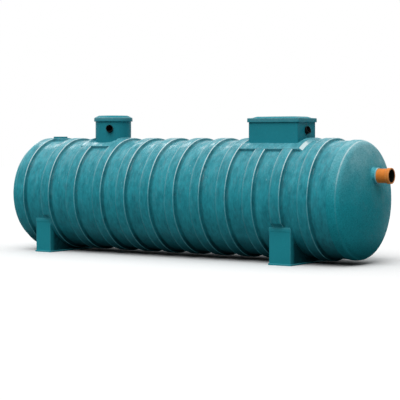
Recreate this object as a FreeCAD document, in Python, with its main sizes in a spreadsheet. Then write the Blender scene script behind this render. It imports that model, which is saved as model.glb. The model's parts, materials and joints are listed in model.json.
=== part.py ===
import FreeCAD, Part
import math
import os
import Sketcher
from types import SimpleNamespace

# Horizontal water tank of glass-reinforced plastic on two saddles.
# X runs along the barrel, Z is up, and the origin is on the floor under the middle of the whole tank.
# Every piece is drawn about the barrel's axis, with x measured from the rim plane of the left end cap,
# and its placement lifts it onto the saddles. Lengths are millimetres and angles are degrees.

SIZES = {
    # barrel, caps and hoops
    "shell_radius": 836,
    "shell_wall": 12,
    "barrel_length": 5630,
    "belly_clearance": 33,
    "cap_depth": 283,
    "knuckle_radius": 135,
    "cap_wall": 12,
    "skirt_length": 74,
    "hoop_height": 39,
    "hoop_crest": 165,
    "hoop_draft": 15,
    "hoop_round": 10,
    "first_hoop": 100,
    "wide_pitch": 507,
    "close_pitch": 447.5,
    # laminate collars that bridge the hoops under the turrets
    "collar_cover": 3,
    "collar_bevel": 3,
    # round manhole turret
    "manhole_place": 1288,
    "neck_radius": 280,
    "neck_wall": 10,
    "neck_rise": 344,
    "manhole_collar_left": 25,
    "manhole_collar_right": 50,
    "manhole_collar_lap": 30,
    "manhole_collar_half_width": 460,
    "manhole_collar_slope": 26,
    "lid_clearance": 4,
    "manhole_lid_wall": 19,
    "manhole_lid_skirt": 46,
    "manhole_lid_plate": 10,
    "manhole_lid_flat": 228,
    "manhole_lid_rise": 36,
    # rectangular hatch turret
    "hatch_place": 4374,
    "hatch_length": 822,
    "hatch_width": 524,
    "hatch_corner": 8,
    "hatch_wall": 10,
    "hatch_rise": 298,
    "hatch_collar_left": 7,
    "hatch_collar_right": 200,
    "hatch_collar_half_width": 508,
    "hatch_collar_slope": 45,
    "hatch_lid_wall": 17,
    "hatch_lid_skirt": 34,
    "hatch_lid_plate": 10,
    "hatch_panel_inset": 62,
    "hatch_panel_ledge": 16,
    "hatch_panel_rise": 42,
    # duct stubs through the turret walls
    "duct_radius": 55,
    "duct_wall": 5,
    "duct_reach": 42,
    "duct_inside": 30,
    "duct_tilt": 20,
    "manhole_duct_drop": 165,
    "manhole_duct_turn": 26,
    "hatch_duct_drop": 154,
    # low capped vent on the crown
    "vent_place": 212,
    "vent_collar_length": 300,
    "vent_collar_half_width": 150,
    "vent_collar_slope": 20,
    "vent_radius": 112,
    "vent_rise": 20,
    "vent_round": 6,
    # inlet on the right end cap
    "inlet_height": 345,
    "pipe_radius": 100,
    "pipe_wall": 7,
    "pipe_reach": 508,
    "pipe_inside": 90,
    "pipe_rim_radius": 112,
    "pipe_rim_length": 56,
    "pipe_rim_chamfer": 6,
    "boss_radius": 128,
    "boss_reach": 322,
    "boss_round": 8,
    # saddles
    "left_saddle_place": 479,
    "left_saddle_length": 295,
    "right_saddle_place": 4776,
    "right_saddle_length": 348,
    "saddle_inset": 93,
    "saddle_round": 10,
    "saddle_lip_depth": 28,
    "saddle_lip_proud": 7,
    "base_thickness": 24,
    "base_proud": 16,
    "base_chamfer": 6,
}

doc = FreeCAD.newDocument("WaterTank")
sheet = doc.addObject("Spreadsheet::Sheet", "Sizes")
for row, (alias, number) in enumerate(SIZES.items(), start=1):
    sheet.set("A%d" % row, alias)
    sheet.set("B%d" % row, str(number))
    sheet.setAlias("B%d" % row, alias)
doc.recompute()


class Size:
    """A length or angle that carries both its value and the sheet formula that gives it."""

    def __init__(self, value, formula):
        self.value = float(value)
        self.formula = formula

    def join(self, other, sign, result):
        text = other.formula if isinstance(other, Size) else repr(other)
        return Size(result, "(%s %s %s)" % (self.formula, sign, text))

    def __add__(self, other):
        return self.join(other, "+", self.value + number_of(other))

    def __sub__(self, other):
        return self.join(other, "-", self.value - number_of(other))

    def __mul__(self, other):
        return self.join(other, "*", self.value * number_of(other))

    def __truediv__(self, other):
        return self.join(other, "/", self.value / number_of(other))

    def __neg__(self):
        return Size(-self.value, "(-1 * %s)" % self.formula)


def number_of(item):
    return item.value if isinstance(item, Size) else item


def root(item):
    return Size(math.sqrt(item.value), "sqrt(%s)" % item.formula)


def smaller(first, second):
    return Size(min(first.value, second.value), "min(%s; %s)" % (first.formula, second.formula))


def angle_of_sine(item):
    """Angle in degrees whose sine is the given ratio."""
    return Size(math.degrees(math.asin(item.value)), "(asin(%s) / 1deg)" % item.formula)


def angle_of_tangent(item):
    """Angle in degrees whose tangent is the given ratio."""
    return Size(math.degrees(math.atan(item.value)), "(atan(%s) / 1deg)" % item.formula)


def bind(item, prop, size):
    item.setExpression(prop, size.formula)


d = SimpleNamespace(**{alias: Size(number, "Sizes." + alias) for alias, number in SIZES.items()})

hoop_radius = d.shell_radius + d.hoop_height
collar_radius = hoop_radius + d.collar_cover
cap_radius = d.shell_radius + d.cap_wall
hoop_half_base = d.hoop_crest / 2 + d.hoop_draft
axis_height = hoop_radius + d.belly_clearance
neck_top = d.shell_radius + d.neck_rise
hatch_top = d.shell_radius + d.hatch_rise
middle = (d.barrel_length + d.pipe_reach - d.cap_depth) / 2
none = Size(0, "0")

STAVE_NAMES = ("crown", "upper_back", "back", "lower_back", "belly", "lower_front", "front", "upper_front")
WIDE_BAYS = 3
CLOSE_BAYS = 8

# Middle of each hoop from the left rim plane: the wide bays first, then the close ones.
hoop_places = [d.first_hoop + d.wide_pitch * bay for bay in range(WIDE_BAYS)]
first_close = d.first_hoop + d.wide_pitch * WIDE_BAYS
hoop_places += [first_close + d.close_pitch * bay for bay in range(CLOSE_BAYS + 1)]


def seat(item, along=None, up=None, turn=None):
    """Put a piece in the tank's frame: drawn about the barrel axis, then lifted onto the saddles."""
    if turn is not None:
        item.Placement = FreeCAD.Placement(FreeCAD.Vector(), turn)
    x = -middle if along is None else along - middle
    z = axis_height if up is None else axis_height + up
    bind(item, "Placement.Base.x", x)
    bind(item, "Placement.Base.z", z)


def new_body(name, along=None, up=None, turn=None):
    body = doc.addObject("PartDesign::Body", name)
    body.Label = name
    seat(body, along, up, turn)
    return body


def plane_of(body, role):
    return next(plane for plane in body.Origin.OriginFeatures if plane.Role == role)


def arc_to(across, up, radius, side):
    """An outline step that bends: side is +1 when the arc's centre is to the left of the way travelled."""
    return (across, up, radius, side)


def outline(body, name, role, start, steps):
    """Closed sketch from a start point through straight steps (across, up) and bent ones from arc_to."""
    sketch = body.newObject("Sketcher::SketchObject", name)
    sketch.AttachmentSupport = (plane_of(body, role), [""])
    sketch.MapMode = "FlatFace"
    points = [start] + list(steps)
    ends = []
    for index, step in enumerate(steps + [start]):
        here = vector_of(points[index])
        there = vector_of(step)
        bent = len(step) == 4
        if bent:
            curve = arc_between(here, there, number_of(step[2]), step[3])
        else:
            curve = Part.LineSegment(here, there)
        geometry = sketch.addGeometry(curve, False)
        gaps = [sketch.getPoint(geometry, end).distanceToPoint(here) for end in (1, 2)]
        ends.append((geometry, 1, 2) if gaps[0] < gaps[1] else (geometry, 2, 1))
        if bent:
            hold(sketch, Sketcher.Constraint("Radius", geometry, number_of(step[2])), step[2])
    for index, (geometry, first, last) in enumerate(ends):
        following = ends[(index + 1) % len(ends)]
        sketch.addConstraint(Sketcher.Constraint("Coincident", geometry, last, following[0], following[1]))
        place_point(sketch, geometry, first, points[index])
    return sketch


def vector_of(step):
    return FreeCAD.Vector(number_of(step[0]), number_of(step[1]), 0)


def arc_between(here, there, radius, side):
    """Arc of the given radius, shorter than a half circle, with its centre on the given side of the way."""
    chord = there - here
    left = FreeCAD.Vector(-chord.y, chord.x, 0).normalize()
    centre_offset = math.sqrt(max(radius ** 2 - (chord.Length / 2) ** 2, 0))
    centre = (here + there) * 0.5 + left * (side * centre_offset)
    top = centre - left * (side * radius)
    return Part.Arc(here, top, there)


def hold(sketch, constraint, size):
    index = sketch.addConstraint(constraint)
    if isinstance(size, Size):
        sketch.setExpression("Constraints[%d]" % index, size.formula)


def place_point(sketch, geometry, position, step):
    """Tie a point to its two coordinates; a plain zero puts it on that axis of the sketch."""
    for kind, size, axis in (("DistanceX", step[0], -2), ("DistanceY", step[1], -1)):
        if number_of(size) == 0:
            sketch.addConstraint(Sketcher.Constraint("PointOnObject", geometry, position, axis))
        else:
            hold(sketch, Sketcher.Constraint(kind, -1, 1, geometry, position, number_of(size)), size)


def rounded_rectangle(body, name, role, half_x, half_y, corner):
    """Rectangle about the sketch origin with round corners."""
    start = (half_x - corner, -half_y)
    steps = [
        arc_to(half_x, corner - half_y, corner, 1),
        (half_x, half_y - corner),
        arc_to(half_x - corner, half_y, corner, 1),
        (corner - half_x, half_y),
        arc_to(-half_x, half_y - corner, corner, 1),
        (-half_x, corner - half_y),
        arc_to(corner - half_x, -half_y, corner, 1),
    ]
    return outline(body, name, role, start, steps)


def circle(body, name, role, across, up, radius):
    sketch = body.newObject("Sketcher::SketchObject", name)
    sketch.AttachmentSupport = (plane_of(body, role), [""])
    sketch.MapMode = "FlatFace"
    centre = FreeCAD.Vector(number_of(across), number_of(up), 0)
    geometry = sketch.addGeometry(Part.Circle(centre, FreeCAD.Vector(0, 0, 1), radius.value), False)
    hold(sketch, Sketcher.Constraint("Radius", geometry, radius.value), radius)
    place_point(sketch, geometry, 3, (across, up))
    return sketch


def revolve(body, sketch, axis="H_Axis", angle=None):
    """Turn an outline about a sketch axis: full circle, or a sector about the sketch plane."""
    feature = body.newObject("PartDesign::Revolution", sketch.Name + "_turned")
    feature.Profile = sketch
    feature.ReferenceAxis = (sketch, [axis])
    feature.Angle = 360
    if angle is not None:
        feature.Midplane = True
        bind(feature, "Angle", angle)
    sketch.Visibility = False
    return feature


def pad(body, sketch, length, symmetric=False, taper=None):
    feature = body.newObject("PartDesign::Pad", sketch.Name + "_raised")
    feature.Profile = sketch
    feature.SideType = "Symmetric" if symmetric else "One side"
    bind(feature, "Length", length)
    if taper is not None:
        bind(feature, "TaperAngle", taper)
    return feature


def cut_through(body, sketch, symmetric=False, upward=False):
    feature = body.newObject("PartDesign::Pocket", sketch.Name + "_cut")
    feature.Profile = sketch
    feature.Type = "ThroughAll"
    feature.SideType = "Symmetric" if symmetric else "One side"
    feature.Reversed = upward
    return feature


def edges_where(feature, test):
    """Names of a feature's edges that pass a test on the edge."""
    doc.recompute()
    return ["Edge%d" % index for index, edge in enumerate(feature.Shape.Edges, start=1) if test(edge)]


def dress(body, kind, feature, size, test):
    """Fillet or chamfer the edges of a feature that pass the test."""
    names = edges_where(feature, test)
    dressed = body.newObject("PartDesign::" + kind, body.Name + "_" + kind.lower())
    dressed.Base = (feature, names)
    bind(dressed, "Radius" if kind == "Fillet" else "Size", size)
    body.Tip = dressed
    return dressed


def is_circle(edge, radius):
    return edge.Curve.TypeId == "Part::GeomCircle" and abs(edge.Curve.Radius - radius.value) < 0.01


def cylinder_along_x(name, radius, length, along, up):
    item = doc.addObject("Part::Cylinder", name)
    bind(item, "Radius", radius)
    bind(item, "Height", length)
    seat(item, along, up, FreeCAD.Rotation(FreeCAD.Vector(0, 1, 0), 90))
    return item


def cut(name, base, tool):
    item = doc.addObject("Part::Cut", name)
    item.Base = base
    item.Tool = tool
    item.Label = name
    return item


pieces = {}


def keep(name, item):
    item.Label = name
    pieces[name] = item
    return item


def barrel_wall(body):
    """Sector of the barrel wall between the left joint, under the first hoop, and the right rim plane."""
    inner = d.shell_radius - d.shell_wall
    sketch = outline(body, body.Name + "_wall", "XZ_Plane", (d.first_hoop, inner), [
        (d.barrel_length, inner),
        (d.barrel_length, d.shell_radius),
        (d.first_hoop, d.shell_radius),
    ])
    sector = Size(360 / len(STAVE_NAMES), "(360 / %d)" % len(STAVE_NAMES))
    return revolve(body, sketch, angle=sector)


def build_staves():
    """Wall segments round the barrel; the crown segment has the two turret openings."""
    step = 360 / len(STAVE_NAMES)
    for index, word in enumerate(STAVE_NAMES):
        turn = FreeCAD.Rotation(FreeCAD.Vector(1, 0, 0), -index * step)
        body = new_body("barrel_" + word, turn=turn)
        barrel_wall(body)
        if word == "crown":
            open_for_manhole(body, d.manhole_place, d.neck_wall)
            open_for_hatch(body, d.hatch_place, d.hatch_wall)
        keep(body.Name, body)


def open_for_manhole(body, place, inset):
    """Cut the neck's outline, drawn in by the inset, upward through a piece."""
    opening = circle(body, body.Name + "_manhole", "XY_Plane", place, 0, d.neck_radius - inset)
    cut_through(body, opening, upward=True)


def open_for_hatch(body, place, inset):
    """Cut the hatch box's outline, drawn in by the inset, upward through a piece."""
    half_x = d.hatch_length / 2 - inset
    half_y = d.hatch_width / 2 - inset
    opening = outline(body, body.Name + "_hatch", "XY_Plane", (place - half_x, -half_y), [
        (place + half_x, -half_y),
        (place + half_x, half_y),
        (place - half_x, half_y),
    ])
    cut_through(body, opening, upward=True)


def dish(radius, depth):
    """Torispherical end at some depth inside its outer face.

    Gives the crown radius, the point where the knuckle meets the crown, and the knuckle radius. The
    crown's centre lies on the barrel axis, and the arcs share a tangent on the line through both centres.
    """
    across = radius - d.knuckle_radius
    squares = d.cap_depth * d.cap_depth + across * across - d.knuckle_radius * d.knuckle_radius
    crown = squares / ((d.cap_depth - d.knuckle_radius) * 2)
    centre = d.cap_depth - crown
    share = (crown - depth) / (crown - d.knuckle_radius)
    join = (centre - centre * share, across * share)
    return crown - depth, join, d.knuckle_radius - depth


def dished_profile(body, radius, wall, skirt_start):
    """Section of an end cap: a short skirt, a knuckle and a shallow crown, with the same wall all over."""
    outer_crown, outer_join, outer_knuckle = dish(radius, none)
    inner_crown, inner_join, inner_knuckle = dish(radius, wall)
    return outline(body, body.Name + "_profile", "XZ_Plane", (skirt_start, radius), [
        (0, radius),
        arc_to(outer_join[0], outer_join[1], outer_knuckle, -1),
        arc_to(d.cap_depth, 0, outer_crown, -1),
        (d.cap_depth - wall, 0),
        arc_to(inner_join[0], inner_join[1], inner_crown, 1),
        arc_to(0, radius - wall, inner_knuckle, 1),
        (skirt_start, radius - wall),
    ])


def build_caps():
    """The left cap butts the barrel under the first hoop; the right cap's skirt laps over its far end."""
    mirrored = FreeCAD.Rotation(FreeCAD.Vector(0, 0, 1), 180)
    left = new_body("left_end_cap", along=none, turn=mirrored)
    revolve(left, dished_profile(left, d.shell_radius, d.shell_wall, -d.first_hoop))
    keep("left_end_cap", left)
    right = new_body("right_end_cap_shell", along=d.barrel_length)
    revolve(right, dished_profile(right, cap_radius, d.cap_wall, -d.skirt_length))
    hole = cylinder_along_x("inlet_hole", d.pipe_radius, d.pipe_reach, d.barrel_length, d.inlet_height)
    keep("right_end_cap", cut("right_end_cap", right, hole))


def hoop_outline(body, name, place):
    half_crest = d.hoop_crest / 2
    return outline(body, name, "XZ_Plane", (place - hoop_half_base, d.shell_radius), [
        (place + hoop_half_base, d.shell_radius),
        (place + half_crest, hoop_radius),
        (place - half_crest, hoop_radius),
    ])


def build_hoops():
    """Hoop ribs of drafted section with rounded crests, opened where a turret passes through them."""
    for index, place in enumerate(hoop_places, start=1):
        body = new_body("hoop_%02d" % index, along=place)
        ring = revolve(body, hoop_outline(body, body.Name + "_section", none))
        dress(body, "Fillet", ring, d.hoop_round, lambda edge: is_circle(edge, hoop_radius))
        if meets(place, d.manhole_place, d.neck_radius):
            open_for_manhole(body, d.manhole_place - place, none)
        if meets(place, d.hatch_place, d.hatch_length / 2):
            open_for_hatch(body, d.hatch_place - place, none)
        keep(body.Name, body)


def meets(hoop_place, place, half_length):
    """True when a hoop's base overlaps a piece that reaches half_length each way from its place."""
    return abs(hoop_place.value - place.value) < half_length.value + hoop_half_base.value


def collar_patch(name, start, finish, half_width, start_slope, finish_slope):
    """Laminate patch on the barrel with sloping ends, notched where it passes over the hoops."""
    body = new_body(name + "_patch")
    sketch = outline(body, name + "_section", "XZ_Plane", (start, d.shell_radius), [
        (finish, d.shell_radius),
        (finish - finish_slope, collar_radius),
        (start + start_slope, collar_radius),
    ])
    spread = angle_of_sine(half_width / collar_radius) * 2
    patch = revolve(body, sketch, angle=spread)
    rim = collar_radius.value - 0.01
    dress(body, "Chamfer", patch, d.collar_bevel, lambda edge: lies_at(edge, rim))
    for index, place in enumerate(hoop_places, start=1):
        if meets(place, (start + finish) / 2, (finish - start) / 2):
            groove(body, hoop_outline(body, "%s_hoop_%02d" % (name, index), place))
    return body


def lies_at(edge, radius):
    """True when both ends of an edge stand at least this far from the barrel axis."""
    return all(math.hypot(vertex.Y, vertex.Z) > radius for vertex in edge.Vertexes)


def groove(body, sketch):
    feature = body.newObject("PartDesign::Groove", sketch.Name + "_groove")
    feature.Profile = sketch
    feature.ReferenceAxis = (sketch, ["H_Axis"])
    feature.Angle = 360
    return feature


def build_manhole():
    """Round turret: collar, neck in four quarters, lid and duct stub.

    The collar's left end clears the neck and laps past the foot of the hoop that the neck stands on.
    """
    left_foot = hoop_places[WIDE_BAYS - 1] - hoop_half_base
    past_neck = d.manhole_place - d.neck_radius - d.manhole_collar_left
    collar = collar_patch("manhole_collar", smaller(past_neck, left_foot - d.manhole_collar_lap),
                          d.manhole_place + d.neck_radius + d.manhole_collar_right,
                          d.manhole_collar_half_width, d.manhole_collar_slope, d.manhole_collar_slope)
    open_for_manhole(collar, d.manhole_place, none)
    keep("manhole_collar", collar)

    turn = d.manhole_duct_turn.formula
    at_wall = (
        d.manhole_place - middle + d.neck_radius * Size(math.sin(math.radians(d.manhole_duct_turn.value)),
                                                        "sin(%s * 1deg)" % turn),
        -d.neck_radius * Size(math.cos(math.radians(d.manhole_duct_turn.value)), "cos(%s * 1deg)" % turn),
        axis_height + neck_top - d.manhole_duct_drop,
    )
    facing = d.manhole_duct_turn - 90
    core = duct_tube("manhole_duct_core", none, at_wall, d.neck_wall, facing)
    for index, word in enumerate(("right", "back", "left", "front")):
        name = "manhole_neck_" + word
        quarter = cut(name + "_seated", neck_quarter(name, index * 90), barrel_outside())
        if word == "front":
            quarter = cut(name + "_pierced", quarter, core)
        keep(name, quarter)
    bore = d.duct_radius - d.duct_wall
    keep("manhole_duct", duct_tube("manhole_duct", bore, at_wall, d.neck_wall, facing))
    keep("manhole_lid", manhole_lid())


def neck_quarter(name, degrees):
    """Quarter of the neck's wall, facing along X and then turned about the neck's axis."""
    body = new_body(name + "_wall", along=d.manhole_place,
                    turn=FreeCAD.Rotation(FreeCAD.Vector(0, 0, 1), degrees))
    inner = d.neck_radius - d.neck_wall
    section = outline(body, name + "_section", "XZ_Plane", (inner, 0), [
        (d.neck_radius, 0),
        (d.neck_radius, neck_top),
        (inner, neck_top),
    ])
    revolve(body, section, axis="V_Axis", angle=Size(90, "90"))
    return body


def barrel_outside():
    """The barrel's outside as a solid, which trims the feet of the turret walls."""
    solid = doc.getObject("barrel_outside")
    return solid or cylinder_along_x("barrel_outside", d.shell_radius, d.barrel_length, none, none)


def duct_tube(name, bore, at_wall, wall, facing):
    """Tube through a turret wall, tilted up about the point where its axis leaves the wall."""
    tube = doc.addObject("PartDesign::Body", name)
    place = "; ".join(size.formula for size in at_wall)
    tube.setExpression("Placement", "placement(vector(%s); rotation(%s; %s; 0))" % (
        place, facing.formula, (-d.duct_tilt).formula))
    inner_end = -(wall + d.duct_inside)
    revolve(tube, outline(tube, name + "_section", "XZ_Plane", (inner_end, bore), [
        (d.duct_reach, bore),
        (d.duct_reach, d.duct_radius),
        (inner_end, d.duct_radius),
    ]))
    return tube


def manhole_lid():
    """Lid that drops over the neck: a flat top with a sloping shoulder, and a skirt that hangs outside."""
    lid = new_body("manhole_lid", along=d.manhole_place, up=neck_top)
    inside = d.neck_radius + d.lid_clearance
    outside = inside + d.manhole_lid_wall
    top = d.manhole_lid_plate + d.manhole_lid_rise
    rim = d.neck_radius - d.neck_wall
    revolve(lid, outline(lid, "manhole_lid_profile", "XZ_Plane", (0, d.manhole_lid_rise), [
        (d.manhole_lid_flat - d.manhole_lid_plate, d.manhole_lid_rise),
        (rim, 0),
        (inside, 0),
        (inside, -d.manhole_lid_skirt),
        (outside, -d.manhole_lid_skirt),
        (outside, d.manhole_lid_plate),
        (d.manhole_lid_flat, top),
        (0, top),
    ]), axis="V_Axis")
    return lid


def build_hatch():
    """Rectangular turret: collar, four walls, lid and duct stub."""
    half_x = d.hatch_length / 2
    half_y = d.hatch_width / 2
    collar = collar_patch("hatch_collar", d.hatch_place - half_x - d.hatch_collar_left,
                          d.hatch_place + half_x + d.hatch_collar_right, d.hatch_collar_half_width,
                          none, d.hatch_collar_slope)
    open_for_hatch(collar, d.hatch_place, none)
    keep("hatch_collar", collar)

    at_wall = (d.hatch_place + half_x - middle, none, axis_height + hatch_top - d.hatch_duct_drop)
    core = duct_tube("hatch_duct_core", none, at_wall, d.hatch_wall, none)
    for word, side in (("front", -1), ("back", 1)):
        name = "hatch_wall_" + word
        keep(name, cut(name, long_wall(name, half_x, half_y, side), barrel_outside()))
    for word, side in (("left", -1), ("right", 1)):
        name = "hatch_wall_" + word
        wall = cut(name + "_seated", short_wall(name, half_x, half_y, side), barrel_outside())
        if word == "right":
            wall = cut(name + "_pierced", wall, core)
        keep(name, wall)
    bore = d.duct_radius - d.duct_wall
    keep("hatch_duct", duct_tube("hatch_duct", bore, at_wall, d.hatch_wall, none))
    keep("hatch_lid", hatch_lid(half_x, half_y))


def long_wall(name, half_x, half_y, side):
    """Front or back wall of the hatch, with the box's two rounded outer corners."""
    body = new_body(name + "_plate", along=d.hatch_place)
    inner = (half_y - d.hatch_wall) * side
    outer = half_y * side
    bend = (half_y - d.hatch_corner) * side
    pad(body, outline(body, name + "_section", "XY_Plane", (-half_x, inner), [
        (half_x, inner),
        (half_x, bend),
        arc_to(half_x - d.hatch_corner, outer, d.hatch_corner, side),
        (d.hatch_corner - half_x, outer),
        arc_to(-half_x, bend, d.hatch_corner, side),
    ]), hatch_top)
    return body


def short_wall(name, half_x, half_y, side):
    """Left or right wall of the hatch, between the long walls."""
    body = new_body(name + "_plate", along=d.hatch_place)
    reach = half_y - d.hatch_wall
    pad(body, outline(body, name + "_section", "XY_Plane", ((half_x - d.hatch_wall) * side, -reach), [
        (half_x * side, -reach),
        (half_x * side, reach),
        ((half_x - d.hatch_wall) * side, reach),
    ]), hatch_top)
    return body


def hatch_lid(half_x, half_y):
    """Lid with a hanging skirt and a raised panel with sloping sides, hollow below."""
    lid = new_body("hatch_lid", along=d.hatch_place, up=hatch_top)
    reach = d.lid_clearance + d.hatch_lid_wall

    def ring(name, offset, corner):
        across = half_x + offset
        return rounded_rectangle(lid, "hatch_lid_" + name, "XY_Plane", across, half_y + offset, corner)

    pad(lid, ring("plate", reach, d.hatch_corner + reach), d.hatch_lid_plate)
    pad(lid, ring("skirt", reach, d.hatch_corner + reach), d.hatch_lid_skirt).Reversed = True
    panel = ring("panel", reach - d.hatch_panel_ledge, d.hatch_corner + reach)
    bind(panel, "AttachmentOffset.Base.z", d.hatch_lid_plate)
    slope = angle_of_tangent(d.hatch_panel_inset / d.hatch_panel_rise)
    pad(lid, panel, d.hatch_panel_rise, taper=-slope)
    cut_through(lid, ring("hollow", d.lid_clearance, d.hatch_corner + d.lid_clearance))
    dome = ring("dome", -d.hatch_wall, d.hatch_corner + reach)
    void = body_pocket(lid, dome, d.hatch_panel_rise)
    bind(void, "TaperAngle", -slope)
    return lid


def body_pocket(body, sketch, depth):
    """Pocket of a given depth, cut upward from the sketch."""
    feature = body.newObject("PartDesign::Pocket", sketch.Name + "_cut")
    feature.Profile = sketch
    feature.Type = "Length"
    feature.Reversed = True
    bind(feature, "Length", depth)
    return feature


def build_vent():
    """Low capped vent socket on the crown, on a collar that bridges the first hoop."""
    half = d.vent_collar_length / 2
    collar = collar_patch("vent_collar", d.vent_place - half, d.vent_place + half, d.vent_collar_half_width,
                          d.vent_collar_slope, d.vent_collar_slope)
    keep("vent_collar", collar)
    cap = new_body("vent_cap", along=d.vent_place)
    top = collar_radius + d.vent_rise
    pad(cap, circle(cap, "vent_cap_outside", "XY_Plane", 0, 0, d.vent_radius), top)
    foot = circle(cap, "vent_cap_foot", "YZ_Plane", 0, 0, collar_radius)
    seated = cut_through(cap, foot, symmetric=True)
    cap.Tip = seated
    dress(cap, "Fillet", seated, d.vent_round,
          lambda edge: is_circle(edge, d.vent_radius) and edge.BoundBox.ZMin > top.value - 0.01)
    keep("vent_cap", cap)


def filled_cap(name):
    """The right cap's outside as a solid, which trims the boss."""
    body = new_body(name, along=d.barrel_length)
    crown, join, knuckle = dish(cap_radius, none)
    sketch = outline(body, name + "_profile", "XZ_Plane", (0, 0), [
        (0, cap_radius),
        arc_to(join[0], join[1], knuckle, -1),
        arc_to(d.cap_depth, 0, crown, -1),
    ])
    revolve(body, sketch)
    return body


def build_inlet():
    """Drain pipe through the right cap, with a socket rim, in a moulded boss."""
    pipe = new_body("inlet_pipe", along=d.barrel_length, up=d.inlet_height)
    bore = d.pipe_radius - d.pipe_wall
    rim_start = d.pipe_reach - d.pipe_rim_length
    inner_end = d.cap_depth - d.cap_wall - d.pipe_inside
    profile = outline(pipe, "inlet_pipe_profile", "XZ_Plane", (inner_end, bore), [
        (d.pipe_reach, bore),
        (d.pipe_reach, d.pipe_rim_radius),
        (rim_start, d.pipe_rim_radius),
        (rim_start - d.pipe_rim_chamfer, d.pipe_radius),
        (inner_end, d.pipe_radius),
    ])
    revolve(pipe, profile)
    keep("inlet_pipe", pipe)

    boss = new_body("inlet_boss_ring", along=d.barrel_length, up=d.inlet_height)
    ring = revolve(boss, outline(boss, "inlet_boss_profile", "XZ_Plane", (0, d.pipe_radius), [
        (d.boss_reach, d.pipe_radius),
        (d.boss_reach, d.boss_radius),
        (0, d.boss_radius),
    ]))
    dress(boss, "Fillet", ring, d.boss_round,
          lambda edge: is_circle(edge, d.boss_radius) and edge.BoundBox.XMin > d.boss_reach.value - 0.01)
    keep("inlet_boss", cut("inlet_boss", boss, filled_cap("cap_outside")))


def build_saddles():
    """Moulded cradles across the tank, hollowed to the barrel and its hoops, each on a base plate."""
    reach = d.shell_radius - d.saddle_inset
    for word, place, length in (
        ("left", d.left_saddle_place, d.left_saddle_length),
        ("right", d.right_saddle_place, d.right_saddle_length),
    ):
        saddle = saddle_block(word, place, length, reach)
        for index, hoop_place in enumerate(hoop_places, start=1):
            if meets(hoop_place, place, length / 2 + d.saddle_lip_proud):
                hoop = "hoop_%02d" % index
                saddle = cut("%s_saddle_at_%s" % (word, hoop), saddle, pieces[hoop])
        keep(word + "_saddle", saddle)

        base = new_body(word + "_base_plate", along=place, up=-axis_height)
        edge = rounded_rectangle(base, word + "_base_outline", "XY_Plane", length / 2 + d.base_proud,
                                 reach + d.base_proud, d.saddle_round + d.base_proud)
        plate = pad(base, edge, d.base_thickness)
        dress(base, "Chamfer", plate, d.base_chamfer,
              lambda edge: edge.BoundBox.ZMin > d.base_thickness.value - 0.01)
        keep(word + "_base_plate", base)


def saddle_block(word, place, length, reach):
    """Upright block with a hollow top, and a lip of even depth round its upper edge."""
    body = new_body(word + "_saddle_block", along=place)
    floor = d.base_thickness - axis_height
    block = pad(body, outline(body, word + "_saddle_section", "YZ_Plane", (-reach, floor), [
        (reach, floor),
        (reach, below_axis(d.shell_radius, reach)),
        arc_to(-reach, below_axis(d.shell_radius, reach), d.shell_radius, -1),
    ]), length, symmetric=True)
    dress(body, "Fillet", block, d.saddle_round, upright_edge)
    out = reach + d.saddle_lip_proud
    under = d.shell_radius + d.saddle_lip_depth
    lip = outline(body, word + "_saddle_lip", "YZ_Plane", (-out, below_axis(under, out)), [
        arc_to(out, below_axis(under, out), under, 1),
        (out, below_axis(d.shell_radius, out)),
        arc_to(-out, below_axis(d.shell_radius, out), d.shell_radius, -1),
    ])
    body.Tip = pad(body, lip, length + d.saddle_lip_proud * 2, symmetric=True)
    return body


def below_axis(radius, across):
    """Height, below the barrel axis, of a round of this radius at a distance across."""
    return -root(radius * radius - across * across)


def upright_edge(edge):
    return edge.Curve.TypeId == "Part::GeomLine" and edge.BoundBox.ZLength > d.base_thickness.value


build_staves()
build_caps()
build_hoops()
build_manhole()
build_hatch()
build_vent()
build_inlet()
build_saddles()
doc.recompute()

for item in doc.Objects:
    if "Invalid" in item.State or "Error" in item.State:
        raise RuntimeError("%s failed: %s" % (item.Name, item.State))
for name, item in pieces.items():
    if item.Shape.isNull() or not item.Shape.isValid() or not item.Shape.Solids:
        raise RuntimeError("%s has no valid solid" % name)

os.makedirs("parts", exist_ok=True)
for name, item in pieces.items():
    item.Shape.exportStep("parts/%s.step" % name)
    box = item.Shape.optimalBoundingBox(False, False)
    print("%-18s solids %d volume %.5f m3  x %.0f..%.0f  y %.0f..%.0f  z %.0f..%.0f" % (
        name, len(item.Shape.Solids), item.Shape.Volume / 1e9,
        box.XMin, box.XMax, box.YMin, box.YMax, box.ZMin, box.ZMax))
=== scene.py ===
# %% [markdown]
# An underground water tank of glass-reinforced plastic lies on two saddles. Its solids come from the
# CAD model, in metres, so nothing here has to be scaled or moved to fit. The solids are plain and
# exact. What this script adds is how the tank was made: soft corners where laminate was laid over a
# mould, walls that are not quite true, and gelcoat that runs paler and duller from place to place. Some
# of that colour is painted light: highlights and sheen toward the top, and shade under the belly and in
# hollows.

# %% Load the imported model
import json
import math

import bmesh
import bpy
import numpy as np
from mathutils import Matrix, Vector


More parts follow.
